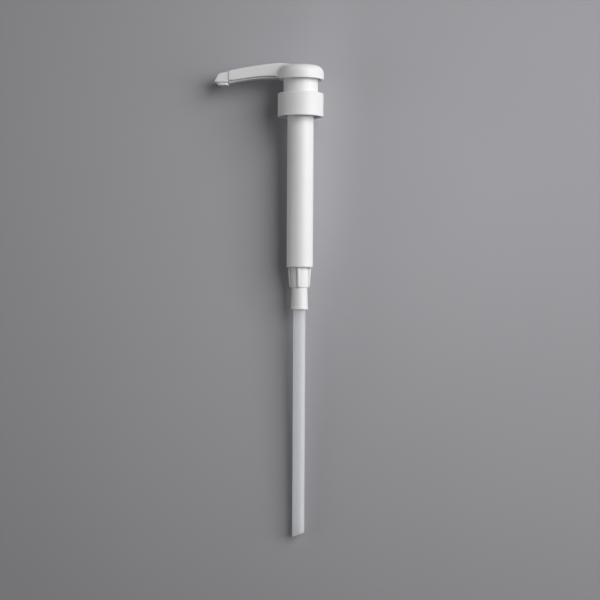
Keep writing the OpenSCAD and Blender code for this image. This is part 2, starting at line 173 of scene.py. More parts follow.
def thread_wave(at: Spots, fullness: float) -> Grid:
    """Give 1 in the turns of the lock thread and 0 between them; a larger fullness widens the turns."""
    x, y, z = at
    phase = np.mod(z / LOCK_LEAD - np.arctan2(y, x) / FULL_TURN, 1.0)
    return np.clip(fullness - LOCK_STEEP * np.abs(phase - 0.5), 0.0, 1.0)


# Meshes


def net_faces(solid: Grid, number: Grid, axis: int) -> Grid:
    """Find the faces that cross one family of grid edges.

    Args:
        solid: True at the grid points inside the form.
        number: Vertex number of each grid cell, or -1.
        axis: Axis along which the grid edges run.

    Returns:
        Quads as rows of four vertex numbers, facing outward.
    """
    before = [slice(None)] * 3
    after = [slice(None)] * 3
    before[axis] = slice(0, -1)
    after[axis] = slice(1, None)
    first, second = solid[tuple(before)], solid[tuple(after)]
    side_a, side_b = (axis + 1) % 3, (axis + 2) % 3
    quads = []
    for leaves in (True, False):
        hit = np.argwhere((first & ~second) if leaves else (~first & second))
        corners = []
        for step_a, step_b in ((1, 1), (0, 1), (0, 0), (1, 0)):
            cell = hit.copy()
            cell[:, side_a] -= step_a
            cell[:, side_b] -= step_b
            corners.append(number[tuple(cell.T)])
        quads.append(np.stack(corners if leaves else corners[::-1], axis=1))
    return np.concatenate(quads)


def settled(shape: Field, verts: Grid, step: float) -> Grid:
    """Pull vertices onto the skin of a field.

    Args:
        shape: Signed distance in mm.
        verts: Vertices near the skin.
        step: Grid size, which limits how far a vertex may go.

    Returns:
        The moved vertices.
    """
    probe = step * PROBE_SHARE
    for _ in range(SETTLE_ROUNDS):
        value = shape(verts.T)
        rises = [shape((verts + way).T) - shape((verts - way).T) for way in probe * np.eye(3)]
        slope = np.stack(rises, axis=1) / (2.0 * probe)
        power = np.maximum((slope * slope).sum(axis=1), LEAST_POWER)
        move = -(value / power)[:, None] * slope
        length = np.linalg.norm(move, axis=1, keepdims=True)
        verts = verts + move * np.minimum(1.0, MOVE_SHARE * step / np.maximum(length, TINY_MOVE))
    return verts


def skin_of(shape: Field, lower: Sequence[float], upper: Sequence[float],
            steps: Sequence[float]) -> tuple[Grid, Grid]:
    """Mesh the skin of a signed distance field.

    Args:
        shape: Signed distance in mm, below zero inside the form.
        lower: Lower corner of the space that is searched, in mm.
        upper: Upper corner of that space, in mm.
        steps: Size of the grid cells along each axis, in mm.

    Returns:
        Vertices in mm and quads.
    """
    axes = [np.arange(a, b + step, step) for a, b, step in zip(lower, upper, steps)]
    value = shape(np.meshgrid(*axes, indexing="ij"))
    solid = value < 0.0
    cells = tuple(n - 1 for n in solid.shape)
    count = np.zeros(cells, dtype=np.int8)
    for i, j, k in np.ndindex(2, 2, 2):
        count += solid[i:cells[0] + i, j:cells[1] + j, k:cells[2] + k]
    mixed = np.argwhere((count > 0) & (count < 8))
    number = np.full(cells, -1, dtype=np.int64)
    number[tuple(mixed.T)] = np.arange(len(mixed))
    total = np.zeros((len(mixed), 3))
    hits = np.zeros(len(mixed))
    for axis in range(3):
        for other_a, other_b in np.ndindex(2, 2):
            start = mixed.copy()
            start[:, (axis + 1) % 3] += other_a
            start[:, (axis + 2) % 3] += other_b
            end = start.copy()
            end[:, axis] += 1
            at_start = value[tuple(start.T)]
            at_end = value[tuple(end.T)]
            cross = (at_start < 0.0) != (at_end < 0.0)
            share = at_start / np.where(cross, at_start - at_end, 1.0)
            spot = start + share[:, None] * (end - start)
            total[cross] += spot[cross]
            hits += cross
    verts = np.asarray(lower) + np.asarray(steps) * total / hits[:, None]
    faces = np.concatenate([net_faces(solid, number, axis) for axis in range(3)])
    return settled(shape, verts, min(steps)), faces


def rounded(corners: Sequence[Triple], steps: int = 6, guard: float = 0.3) -> Grid:
    """Turn the corners of a closed profile into points with round edges.

    Args:
        corners: Radius, height and edge radius of each corner, counterclockwise, in mm.
        steps: Number of stretches in a round edge.
        guard: Distance of the extra points that keep flat stretches flat.

    Returns:
        Points of the profile as rows of radius and height.
    """
    spots = np.array([c[:2] for c in corners])
    points: list[Grid] = []
    for k, (_, _, edge) in enumerate(corners):
        here = spots[k]
        arms = []
        for other in (spots[k - 1], spots[(k + 1) % len(spots)]):
            span = other - here
            length = float(np.linalg.norm(span))
            arms.append((span / length, length))
        (back, back_len), (ahead, ahead_len) = arms
        turn = math.acos(max(-1.0, min(1.0, float(back @ ahead))))
        reach = edge / math.tan(turn / 2.0) if edge > 0.0 else 0.0
        if back_len > 2.0 * (reach + guard):
            points.append(here + back * (reach + guard))
        if edge > 0.0:
            middle = back + ahead
            centre = here + middle / np.linalg.norm(middle) * edge / math.sin(turn / 2.0)
            first = here + back * reach - centre
            last = here + ahead * reach - centre
            sweep = math.pi - turn
            for share in np.arange(steps + 1) / steps:
                leaving = math.sin((1.0 - share) * sweep) * first
                points.append(centre + (leaving + math.sin(share * sweep) * last) / math.sin(sweep))
        else:
            points.append(here)
        if ahead_len > 2.0 * (reach + guard):
            points.append(here + ahead * (reach + guard))
    return np.array(points)


def turned(profile: Grid, sides: int) -> tuple[Grid, Grid]:
    """Turn a closed profile round the axis.

    Args:
        profile: Rows of radius and height, counterclockwise, in mm.
        sides: Number of steps round the axis.

    Returns:
        Vertices in mm and quads; the vertices run profile by profile.
    """
    angle = np.linspace(0.0, FULL_TURN, sides, endpoint=False)
    radius, height = profile[:, 0][:, None], profile[:, 1][:, None]
    heights = np.broadcast_to(height, (len(profile), sides))
    verts = np.stack([radius * np.cos(angle), radius * np.sin(angle), heights], axis=2).reshape(-1, 3)
    row = np.arange(len(profile))[:, None] * sides
    next_row = np.roll(row, -1, axis=0)
    here = np.arange(sides)[None, :]
    after = np.roll(here, -1, axis=1)
    corners = [row + here, row + after, next_row + after, next_row + here]
    return verts, np.stack(corners, axis=2).reshape(-1, 4)


def tidy_mesh(mesh: bpy.types.Mesh, crease: float = 32.0) -> None:
    """Merge double points, face a mesh outward and shade it smooth up to a crease angle.

    Args:
        mesh: Mesh that is changed.
        crease: Angle in degrees from which an edge stays sharp.
    """
    work = bmesh.new()
    work.from_mesh(mesh)
    bmesh.ops.remove_doubles(work, verts=work.verts, dist=SAME_SPOT)
    bmesh.ops.recalc_face_normals(work, faces=work.faces)
    if work.calc_volume(signed=True) < 0.0:
        bmesh.ops.reverse_faces(work, faces=work.faces)
    work.to_mesh(mesh)
    work.free()
    mesh.shade_smooth()
    mesh.set_sharp_from_angle(angle=math.radians(crease))
    mesh.update()


def linked(name: str, data: bpy.types.ID) -> Piece:
    """Make an object at the origin and link it to the scene.

    Args:
        name: Name of the object.
        data: Mesh, light or camera that it holds.

    Returns:
        The new object.
    """
    piece = bpy.data.objects.new(name, data)
    bpy.context.scene.collection.objects.link(piece)
    return piece


def new_piece(name: str, verts: Grid, faces: Sequence[Sequence[int]], finish: Material) -> Piece:
    """Make a smooth closed piece.

    Args:
        name: Name of the piece.
        verts: Vertices in mm.
        faces: Vertex numbers of each face.
        finish: Material of the piece.

    Returns:
        The new piece.
    """
    mesh = bpy.data.meshes.new(name)
    mesh.from_pydata((verts * MM).tolist(), [], [list(map(int, face)) for face in faces])
    tidy_mesh(mesh)
    mesh.materials.append(finish)
    return linked(name, mesh)


def plain_mesh(piece: Piece) -> None:
    """Replace a piece's modifiers by the mesh that they give.

    Args:
        piece: Piece that is changed.
    """
    graph = bpy.context.evaluated_depsgraph_get()
    mesh = bpy.data.meshes.new_from_object(piece.evaluated_get(graph))
    piece.modifiers.clear()
    piece.data = mesh
    tidy_mesh(mesh)


def take_out(piece: Piece, verts: Grid, faces: Sequence[Sequence[int]]) -> None:
    """Cut a small closed form out of a piece.

    Args:
        piece: Piece that is cut.
        verts: Vertices of the cutter in mm.
        faces: Faces of the cutter.
    """
    cutter = new_piece("cutter", verts, faces, piece.data.materials[0])
    cut = piece.modifiers.new("cut", "BOOLEAN")
    cut.object = cutter
    cut.solver = "EXACT"
    plain_mesh(piece)
    mesh = cutter.data
    bpy.data.objects.remove(cutter)
    bpy.data.meshes.remove(mesh)


# Node trees


class Bench:
    """Adds and joins the nodes of one tree."""

    def __init__(self, tree: bpy.types.NodeTree) -> None:
        """Keep the tree that is worked on."""
        self.tree = tree

    def feed(self, node: Node, feeds: Feeds) -> None:
        """Link the inputs of a node or give them plain values.

        Args:
            node: Node that is fed.
            feeds: Socket or value of each input, by name or number.
        """
        for key, source in feeds.items():
            if isinstance(source, Socket):
                self.tree.links.new(source, node.inputs[key])
            else:
                node.inputs[key].default_value = source

    def add(self, kind: str, feeds: Feeds | None = None, **settings: object) -> Node:
        """Add a node, set its properties and feed it.

        Args:
            kind: Identifier of the node type.
            feeds: Socket or value of each input, by name or number.
            settings: Properties of the node.

        Returns:
            The new node.
        """
        node = self.tree.nodes.new(kind)
        for name, value in settings.items():
            setattr(node, name, value)
        self.feed(node, feeds or {})
        return node

    def flow(self, kind: str, feeds: Feeds | None = None, out: str | int = 0,
             **settings: object) -> Socket:
        """Add a node as above and give one of its outputs."""
        return self.add(kind, feeds, **settings).outputs[out]

    def calc(self, operation: str, first: object, second: object = 0.0) -> Socket:
        """Add a math node and give its output."""
        return self.flow("ShaderNodeMath", {0: first, 1: second}, operation=operation)

    def vector_calc(self, operation: str, feeds: Feeds, out: str = "Vector") -> Socket:
        """Add a vector math node and give one of its outputs."""
        return self.flow("ShaderNodeVectorMath", feeds, out, operation=operation)

    def vector(self, **parts: object) -> Socket:
        """Add a vector with the parts X, Y and Z and give it."""
        return self.flow("ShaderNodeCombineXYZ", parts)


class Rule:
    """A Geometry Nodes tree with named inputs."""

    def __init__(self, name: str, numbers: Sequence[str], counts: Sequence[str]) -> None:
        """Open a tree.

        Args:
            name: Name of the tree.
            numbers: Names of the inputs that are numbers.
            counts: Names of the inputs that are whole numbers.
        """
        self.tree = bpy.data.node_groups.new(name, "GeometryNodeTree")
        face = self.tree.interface
        face.new_socket(name="Geometry", in_out="OUTPUT", socket_type="NodeSocketGeometry")
        kinds = {label: "NodeSocketFloat" for label in numbers}
        kinds.update({label: "NodeSocketInt" for label in counts}, Material="NodeSocketMaterial")
        self.keys = {label: face.new_socket(name=label, in_out="INPUT", socket_type=kind).identifier
                     for label, kind in kinds.items()}
        self.bench = Bench(self.tree)
        self.given = self.bench.add("NodeGroupInput").outputs

    def close(self, result: Socket) -> None:
        """End the tree in real geometry with its material.

        Args:
            result: Geometry that the tree has made.
        """
        real = self.bench.flow("GeometryNodeRealizeInstances", {"Geometry": result})
        feeds = {"Geometry": real, "Material": self.given["Material"]}
        dressed = self.bench.flow("GeometryNodeSetMaterial", feeds)
        self.bench.add("NodeGroupOutput", {0: dressed})

    def grow(self, name: str, finish: Material, lengths: dict[str, float], plain: dict[str, float]) -> Piece:
        """Make a piece with the tree.

        Args:
            name: Name of the piece.
            finish: Material of the piece.
            lengths: Value of each input that is a length, in mm.
            plain: Value of each other input.

        Returns:
            The piece with a plain mesh.
        """
        piece = linked(name, bpy.data.meshes.new(name))
        rule = piece.modifiers.new("rule", "NODES")
        rule.node_group = self.tree
        values = {label: length * MM for label, length in lengths.items()}
        for label, value in {**values, **plain, "Material": finish}.items():
            rule[self.keys[label]] = value
        plain_mesh(piece)
        return piece


def helix_rule() -> Rule:
    """Build the tree that sweeps a round or oval section along a helix.

    Returns:
        The tree, used by the return spring and by the neck thread.
    """
    numbers = ("Turns", "Radius", "Foot", "End Pitch", "Pitch", "Half Depth", "Half Height", "Run Out")
    rule = Rule("helix_sweep", numbers, ("Points", "Sides"))
    bench, given, calc = rule.bench, rule.given, rule.bench.calc
    line = bench.flow("GeometryNodeCurvePrimitiveLine")
    path = bench.flow("GeometryNodeResampleCurve", {"Curve": line, "Count": given["Points"]})
    share = bench.flow("GeometryNodeSplineParameter", out="Factor")
    turn = calc("MULTIPLY", share, given["Turns"])
    angle = calc("MULTIPLY", turn, FULL_TURN)
    lower = calc("MINIMUM", turn, 1.0)
    inner = calc("SUBTRACT", given["Turns"], 2.0)
    middle = calc("MINIMUM", calc("MAXIMUM", calc("SUBTRACT", turn, 1.0), 0.0), inner)
    upper = calc("MAXIMUM", calc("SUBTRACT", turn, calc("ADD", inner, 1.0)), 0.0)
    ends = calc("MULTIPLY", calc("ADD", lower, upper), given["End Pitch"])
    rise = calc("ADD", ends, calc("MULTIPLY", middle, given["Pitch"]))
    across, along = (calc("MULTIPLY", calc(wave, angle), given["Radius"]) for wave in ("COSINE", "SINE"))
    spot = bench.vector(X=across, Y=along, Z=calc("ADD", rise, given["Foot"]))
    placed = bench.flow("GeometryNodeSetPosition", {"Geometry": path, "Position": spot})
    upright = bench.flow("GeometryNodeSetCurveNormal", {"Curve": placed}, mode="Z_UP")
    ring = bench.flow("GeometryNodeCurvePrimitiveCircle", {"Resolution": given["Sides"], "Radius": 1.0})
    stretch = bench.vector(X=given["Half Height"], Y=given["Half Depth"], Z=1.0)
    section = bench.flow("GeometryNodeTransform", {"Geometry": ring, "Scale": stretch})
    to_end = calc("MINIMUM", turn, calc("SUBTRACT", given["Turns"], turn))
    fade = calc("MINIMUM", calc("ADD", calc("DIVIDE", to_end, given["Run Out"]), SWEEP_END), 1.0)
    rule.close(bench.flow("GeometryNodeCurveToMesh", {
        "Curve": upright, "Profile Curve": section, "Scale": fade, "Fill Caps": True}))
    return rule


def fin_rule() -> Rule:
    """Build the tree that sets tapered fins round the axis.

    Returns:
        The tree, used by the fins of the foot valve.
    """
    numbers = ("Top", "Low", "Root", "Top Reach", "Low Reach", "Thickness", "Corner")
    rule = Rule("fins_round_axis", numbers, ("Count",))
    bench, given, calc = rule.bench, rule.given, rule.bench.calc
    corners = (("Root", "Top"), ("Root", "Low"), ("Low Reach", "Low"), ("Top Reach", "Top"))
    spots = {f"Point {k + 1}": bench.vector(X=given[reach], Y=given[height])
             for k, (reach, height) in enumerate(corners)}
    outline = bench.flow("GeometryNodeCurvePrimitiveQuadrilateral", spots, mode="POINTS")
    at_foot = calc("COMPARE", bench.flow("GeometryNodeInputIndex"), 2.0)
    soft = bench.flow("GeometryNodeFilletCurve", {
        "Curve": outline, "Count": FIN_CORNER_STEPS, "Radius": calc("MULTIPLY", at_foot, given["Corner"])},
        mode="POLY")
    plate = bench.flow("GeometryNodeFillCurve", {"Curve": soft}, mode="NGONS")
    raised = bench.flow("GeometryNodeExtrudeMesh", {
        "Mesh": plate, "Offset": bench.vector(Z=given["Thickness"]), "Individual": False}, mode="FACES")
    under = bench.flow("GeometryNodeFlipFaces", {"Mesh": plate})
    both = bench.add("GeometryNodeJoinGeometry", {"Geometry": raised})
    bench.feed(both, {"Geometry": under})
    closed = bench.flow("GeometryNodeMergeByDistance", {
        "Geometry": both.outputs[0], "Distance": SAME_FIN_SPOT})
    centre = bench.vector(Y=calc("MULTIPLY", given["Thickness"], 0.5))
    upright = (math.radians(90.0), 0.0, 0.0)
    stood = bench.flow("GeometryNodeTransform", {
        "Geometry": closed, "Translation": centre, "Rotation": upright})
    points = bench.flow("GeometryNodePoints", {"Count": given["Count"]})
    share = calc("DIVIDE", bench.flow("GeometryNodeInputIndex"), given["Count"])
    turn = bench.vector(Z=calc("MULTIPLY", share, FULL_TURN))
    rule.close(bench.flow("GeometryNodeInstanceOnPoints", {
        "Points": points, "Instance": stood, "Rotation": turn}))
    return rule


# Finishes


def skin_group() -> bpy.types.NodeTree:
    """Build the shared group that varies a moulded or drawn surface.

    Returns:
        Group with a colour, a roughness and a normal that change over the surface.
    """
    tree = bpy.data.node_groups.new("worked_skin", "ShaderNodeTree")
    sockets = (
        ("INPUT", "Color", ("Base",)),
        ("INPUT", "Float", ("Depth", "Roughness", "Spread", "Grain", "Relief")),
        ("OUTPUT", "Color", ("Color",)),
        ("OUTPUT", "Float", ("Roughness",)),
        ("OUTPUT", "Vector", ("Normal",)),
    )
    for side, kind, names in sockets:
        for name in names:
            tree.interface.new_socket(name=name, in_out=side, socket_type=f"NodeSocket{kind}")
    bench = Bench(tree)
    calc = bench.calc
    given = bench.add("NodeGroupInput").outputs
    spot = bench.flow("ShaderNodeTexCoord", out="Object")
    cloud, grain = (
        bench.flow("ShaderNodeTexNoise", {"Vector": spot, "Scale": scale, "Detail": detail}, "Fac")
        for scale, detail in ((CLOUD_SCALE, CLOUD_DETAIL), (given["Grain"], GRAIN_DETAIL)))
    shade = calc("SUBTRACT", 1.0, calc("MULTIPLY", cloud, given["Depth"]))
    tint = bench.vector_calc("SCALE", {0: given["Base"], "Scale": shade})
    mixed = calc("ADD", calc("SUBTRACT", grain, NOISE_MIDDLE), calc("SUBTRACT", cloud, NOISE_MIDDLE))
    rough = calc("ADD", given["Roughness"], calc("MULTIPLY", mixed, given["Spread"]))
    bump = bench.flow("ShaderNodeBump", {"Strength": 1.0, "Distance": given["Relief"], "Height": grain})
    bench.add("NodeGroupOutput", {"Color": tint, "Roughness": rough, "Normal": bump})
    return tree


def new_material(name: str) -> tuple[Material, Bench, Node, Node]:
    """Open a material.

    Args:
        name: Name of the material.

    Returns:
        The material, the bench of its tree, its main shader and its output.
    """
    material = bpy.data.materials.new(name)
    material.use_nodes = True
    nodes = material.node_tree.nodes
    return material, Bench(material.node_tree), nodes["Principled BSDF"], nodes["Material Output"]


@dataclass(frozen=True)
class Finish:
    """Surface of one material of the pump; its relief and its glow depth are in metres."""

    slot: Slot
    colour: Triple
    roughness: float
    depth: float
    spread: float
    grain: float
    relief: float
    metallic: float = 0.0
    ior: float = 1.49
    glow: float = 0.35
    glow_depth: float = 0.0
    through: float = 0.0
    least: float = 1.0
    rim: float = 0.4

    def make(self, group: bpy.types.NodeTree) -> Material:
        """Build the material.

        Args:
            group: Shared group that varies the surface.

        Returns:
            The finished material.
        """
        material, bench, shader, output = new_material(self.slot.value)
        colour = (*self.colour, 1.0)
        skin = bench.add("ShaderNodeGroup", {
            "Base": colour, "Depth": self.depth, "Roughness": self.roughness, "Spread": self.spread,
            "Grain": self.grain, "Relief": self.relief}, node_tree=group).outputs
        bench.feed(shader, {
            "Base Color": skin["Color"], "Roughness": skin["Roughness"], "Normal": skin["Normal"],
            "Metallic": self.metallic, "IOR": self.ior})
        if self.glow_depth > 0.0:
            bench.feed(shader, {
                "Subsurface Weight": self.glow, "Subsurface Scale": self.glow_depth,
                "Subsurface Radius": (1.0, 1.0, 1.0)})
        if self.through > 0.0:
            inner = bench.flow("ShaderNodeBsdfTranslucent", {"Color": colour, "Normal": skin["Normal"]})
            mix = bench.flow("ShaderNodeMixShader", {0: self.through, 1: shader.outputs[0], 2: inner})
            facing = bench.flow("ShaderNodeLayerWeight", {"Blend": self.rim}, "Facing")
            body = bench.flow("ShaderNodeMapRange", {"Value": facing, "To Min": self.least})
            bare = bench.flow("ShaderNodeBsdfTransparent")
            bench.feed(output, {"Surface": bench.flow("ShaderNodeMixShader", {0: body, 1: bare, 2: mix})})
        return material


FINISHES = (
    Finish(Slot.WHITE, (0.80, 0.80, 0.805), roughness=0.42, depth=0.05, spread=0.10, grain=1500.0,
           relief=0.000012, glow=0.5, glow_depth=0.0013),
    Finish(Slot.NATURAL, (0.72, 0.73, 0.72), roughness=0.38, depth=0.06, spread=0.08, grain=1300.0,
           relief=0.000010, glow_depth=0.0015),
    Finish(Slot.RUBBER, (0.55, 0.56, 0.56), roughness=0.60, depth=0.10, spread=0.10, grain=1800.0,
           relief=0.000020),
    Finish(Slot.STEEL, (0.60, 0.60, 0.61), roughness=0.22, depth=0.08, spread=0.12, grain=2200.0,
           relief=0.000004, metallic=1.0, ior=1.5),
    Finish(Slot.TUBE, (0.95, 0.96, 0.975), roughness=0.36, depth=0.05, spread=0.10, grain=900.0,
           relief=0.000010, through=0.6, least=0.5),
)


# The pump


@dataclass(frozen=True)
class Shop:
    """Materials and trees that the pieces are made with."""

    finishes: dict[Slot, Material]
    helix: Rule
    fins: Rule

    @property
    def white(self) -> Material:
        """Give the material of most pieces."""
        return self.finishes[Slot.WHITE]

    def turn(self, name: str, corners: Sequence[Triple], sides: int) -> Piece:
        """Turn a white piece from the corners of its profile."""
        return new_piece(name, *turned(rounded(corners), sides), self.white)

    def place(self, piece: Piece, body: Body, *nodes: str, slot: Slot = Slot.WHITE) -> None:
        """Tie a piece to its body and hide the CAD nodes that it stands for.

        Args:
            piece: New piece.
            body: Body that it rides on.
            nodes: CAD nodes that it stands for.
            slot: Not used.
        """
        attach(piece, body.value)
        if nodes:
            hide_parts(*nodes)
        LOG.info("%s rides on %s with %d faces", piece.name, body.value, len(piece.data.polygons))


@dataclass
class Spout:
    """Sizes that the swept arm, its tube and its tip share, in mm."""

    width: float = 10.6
    line_r: float = 280.0
    line_x: float = 8.2
    line_z: float = 25.7
    ridge_x: float = -12.0
    ridge_z: float = 24.75
    fall: float = 0.16
    crest: float = 0.8
    under_r: float = 155.0
    under_x: float = -15.8
    under_z: float = 16.05
    edge: float = 1.4
    least_edge: float = 0.5
    low_edge: float = 0.45
    seam_x: float = -48.1
    seam_z: float = 16.5
    seam_lean: float = 3.5
    wall: float = 1.0
    tube_inset: float = 1.55
    tube_wall: float = 1.0
    tube_show: float = 0.6
    tube_sag: float = 0.5
    sag_x: float = -12.4
    sag_run: float = 1.6
    lip: float = 0.5
    lip_groove: float = 0.7
    tube_root: float = high("spout_tube").x
    tube_end: float = low("spout_tube").x

    def under_top(self, x: Grid, z: Grid) -> Grid:
        """Give the signed distance to the space under the arm's top line.

        Args:
            x: Places along the arm.
            z: Heights.

        Returns:
            Signed distance in mm.
        """
        line = np.hypot(x - self.line_x, z - self.line_z + self.line_r) - self.line_r
        fall = (z - self.ridge_z + self.fall * (x - self.ridge_x)) / math.hypot(1.0, self.fall)
        return soft_max(line, fall, self.crest)

    def bar(self, at: Spots, inset: float) -> Grid:
        """Give the signed distance to the bar that lies inward of the arm's top and sides.

        Args:
            at: Places along the arm, across it and up.
            inset: Distance inward from the arm's skin.

        Returns:
            Signed distance in mm.
        """
        x, y, z = at
        side = np.abs(y) - self.width / 2.0
        edge = max(self.edge - inset / 2.0, self.least_edge)
        return common(self.under_top(x, z) + inset, side + inset, edge)

    def under(self, x: Grid, z: Grid, drop: float) -> Grid:
        """Give the signed distance to the space above a line that lies a drop below the arm's lower line."""
        return self.under_r - drop - np.hypot(x - self.under_x, z - self.under_z + self.under_r)

    def past(self, x: Grid, z: Grid, at: tuple[float, float], lean: float) -> Grid:
        """Give the signed distance to what lies before a plane that leans by some degrees through a place."""
        turn = math.radians(lean)
        return (at[0] - x) * math.cos(turn) + (z - at[1]) * math.sin(turn)


@dataclass
class Head:
    """The pump head: moulding, tube, tip and stem, in mm."""

    shop: Shop
    spout: Spout = field(default_factory=Spout)
    pad_r: float = high("actuator_head").x
    pad_low: float = high("screw_cap").z + 9.0
    pad_top: float = high("screw_cap").z + 18.4
    pad_edge_r: float = 4.6
    pad_edge_z: float = 5.4
    rim_edge: float = 0.45
    wall: float = 1.8
    roof: float = 1.0
    plug_in: float = 8.0
    plug_out: float = 9.6
    plug_low: float = low("actuator_head").z
    boss_r: float = 6.15
    socket_r: float = 4.55
    chamber_r: float = 3.4
    chamber_top: float = high("outlet_ball").z + 2.6
    gusset_x: float = -11.2
    gusset_slope: float = 23.5
    gusset_fillet: float = 0.8
    bar_end: float = 9.0
    bar_end_edge: float = 1.0
    bar_fillet: float = 1.4
    room_end: float = -12.5
    window_end: float = -12.6
    window_root: float = -3.85
    thread_high: float = 0.2
    thread_full: float = 1.6
    thread_fade: float = 0.8
    thread_delay: float = 0.6
    tip_step: float = 0.4
    sole: float = low("nozzle_tip").z + 2.65
    sole_wall: float = 0.6
    seam_gap: float = 0.2
    nose_x: float = low("nozzle_tip").x + 0.35
    nose_lean: float = 27.0
    nose_edge: float = 0.7
    outlet_x: float = -52.7
    outlet_r: float = 2.3
    outlet_wall: float = 1.4
    outlet_low: float = low("nozzle_tip").z + 0.75
    outlet_top: float = 3.0
    lip_shift: float = 0.45
    lip_root: float = 2.0
    lip_power: int = 4
    duct_low: float = 1.6
    duct_edge: float = 0.6
    end_gap: float = 0.1
    stem_r: float = 4.5
    stem_bore: float = 2.8
    stem_top: float = high("piston_stem").z
    stem_low: float = low("piston_stem").z
    stem_sides: int = 96
    throat_r: float = 1.7
    spigot_r: float = 4.0
    stop_r: float = high("piston_stem").x
    stop_low: float = high("piston").z + 0.1
    stop_thick: float = 1.5
    fit_gap: float = 0.05
    search_room: float = 0.97
    moulding_grid: Triple = (0.5, 0.3, 0.24)
    tube_grid: Triple = (0.4, 0.2, 0.2)
    tip_grid: Triple = (0.15, 0.15, 0.15)

    def pad(self, rr: Grid, z: Grid, inset: float) -> Grid:
        """Give the signed distance to the thumb pad above its rim.

        Args:
            rr: Distances from the axis.
            z: Heights.
            inset: Distance inward from the pad's skin.

        Returns:
            Signed distance in mm.
        """
        across, up = self.pad_edge_r - inset, self.pad_edge_z - inset
        aside = np.maximum(rr - (self.pad_r - self.pad_edge_r), 0.0) / across
        above = np.maximum(z - (self.pad_top - self.pad_edge_z), 0.0) / up
        return (np.hypot(aside, above) - 1.0) * min(across, up)

    def core(self, at: Spots) -> Grid:
        """Give the signed distance to the lock plug with its thread and to the stem's boss.

        Args:
            at: Places along the arm, across it and up.

        Returns:
            Signed distance in mm.
        """
        x, y, z = at
        rr = np.hypot(x, y)
        fade = np.clip((z - self.plug_low) / self.thread_fade - self.thread_delay, 0.0, 1.0)
        ridge = thread_wave(at, self.thread_full) * fade
        outside = rr - self.plug_out - self.thread_high * ridge * (z < self.pad_low)
        tall = between(z, self.plug_low, self.pad_top - self.roof)
        plug = common(np.maximum(outside, self.plug_in - rr), tall, BROAD)
        return np.minimum(plug, common(rr - self.boss_r, tall, SOFT))

    def moulding(self, at: Spots) -> Grid:
        """Give the signed distance to the head moulding.

        Args:
            at: Places along the arm, across it and up.

        Returns:
            Signed distance in mm.
        """
        arm = self.spout
        x, y, z = at
        rr = np.hypot(x, y)
        pad = common(self.pad(rr, z, 0.0), self.pad_low - z, self.rim_edge)
        slope = math.radians(self.gusset_slope)
        gusset = (self.gusset_x - x) * math.sin(slope) + (self.pad_low - z) * math.cos(slope)
        lower = merged(arm.under(x, z, 0.0), gusset, self.gusset_fillet)
        bar = common(arm.bar(at, 0.0), lower, arm.low_edge)
        bar = common(bar, arm.past(x, z, (arm.seam_x, arm.seam_z), arm.seam_lean), SOFT)
        bar = np.maximum(bar, self.pad_low - z)
        bar = common(bar, x - self.bar_end, self.bar_end_edge)
        head = merged(common(pad, lower, arm.low_edge), bar, self.bar_fillet)
        head = carved(head, self.pad(rr, z, self.wall), FULL)
        head = merged(head, self.core(at), WIDE)
        head = carved(head, np.maximum(rr - self.socket_r, z - self.stem_top - self.fit_gap), MILD)
        head = carved(head, np.maximum(rr - self.chamber_r, z - self.chamber_top), SMALL)
        room = arm.bar(at, arm.wall)
        open_end = np.maximum(room, x - self.room_end)
        window = np.maximum(room, arm.under(x, z, arm.tube_show + self.fit_gap))
        window = np.maximum(window, between(x, self.window_end, self.window_root))
        return carved(head, np.minimum(open_end, window), SOFT)

    def tube(self, at: Spots) -> Grid:
        """Give the signed distance to the delivery tube, which hangs a little out of the arm.

        Args:
            at: Places along the arm, across it and up.

        Returns:
            Signed distance in mm.
        """
        arm = self.spout
        x, y, z = at
        sag = arm.tube_sag * np.clip((arm.sag_x - x) / arm.sag_run, 0.0, 1.0)
        step = np.minimum(self.sole + self.sole_wall - z, arm.seam_x - x)
        floor = np.maximum(arm.under(x, z, arm.tube_show + sag), step)
        skin = common(arm.bar(at, arm.tube_inset), floor, THIN)
        groove = arm.width / 2.0 - arm.tube_inset - arm.lip_groove - np.abs(y)
        skin = carved(skin, np.maximum(groove, floor + arm.lip), FINE)
        duct_inset = arm.tube_inset + arm.lip_groove + arm.tube_wall
        duct = common(arm.bar(at, duct_inset), floor + arm.tube_wall, WIDE)
        skin = common(skin, between(x, arm.tube_end, arm.tube_root), SMALL)
        return carved(skin, duct, THIN)

    def tip(self, at: Spots) -> Grid:
        """Give the signed distance to the nozzle tip.

        Args:
            at: Places along the arm, across it and up.

        Returns:
            Signed distance in mm.
        """
        arm = self.spout
        x, y, z = at
        seam = arm.past(x, z, (arm.seam_x - self.seam_gap, arm.seam_z), arm.seam_lean)
        nose = arm.past(x, z, (self.nose_x, self.sole), self.nose_lean)
        block = common(arm.bar(at, self.tip_step), nose, self.nose_edge)
        block = common(block, self.sole - z, WIDE)
        block = common(block, -seam, MILD)
        aside = x - self.outlet_x
        square = ((aside - self.lip_shift) ** self.lip_power + y ** self.lip_power) ** (1.0 / self.lip_power)
        tall = between(z, self.outlet_low, self.sole + self.lip_root)
        form = merged(block, common(square - self.outlet_r - self.outlet_wall, tall, SOFT), FULL)
        bed = self.sole + self.sole_wall - self.fit_gap - z
        floor = np.maximum(arm.under(x, z, arm.tube_show + self.fit_gap), bed)
        socket = common(arm.bar(at, arm.tube_inset - self.fit_gap), floor, WIDE)
        socket = np.maximum(socket, arm.tube_end - self.end_gap - x)
        duct_inset = arm.tube_inset + arm.tube_wall
        duct = common(arm.bar(at, duct_inset), self.sole + self.duct_low - z, self.duct_edge)
        duct = np.maximum(duct, self.outlet_x - self.outlet_r - x)
        bore = np.maximum(np.hypot(aside, y) - self.outlet_r, z - self.sole - self.outlet_top)
        return carved(form, np.minimum(np.minimum(socket, duct), bore), MILD)

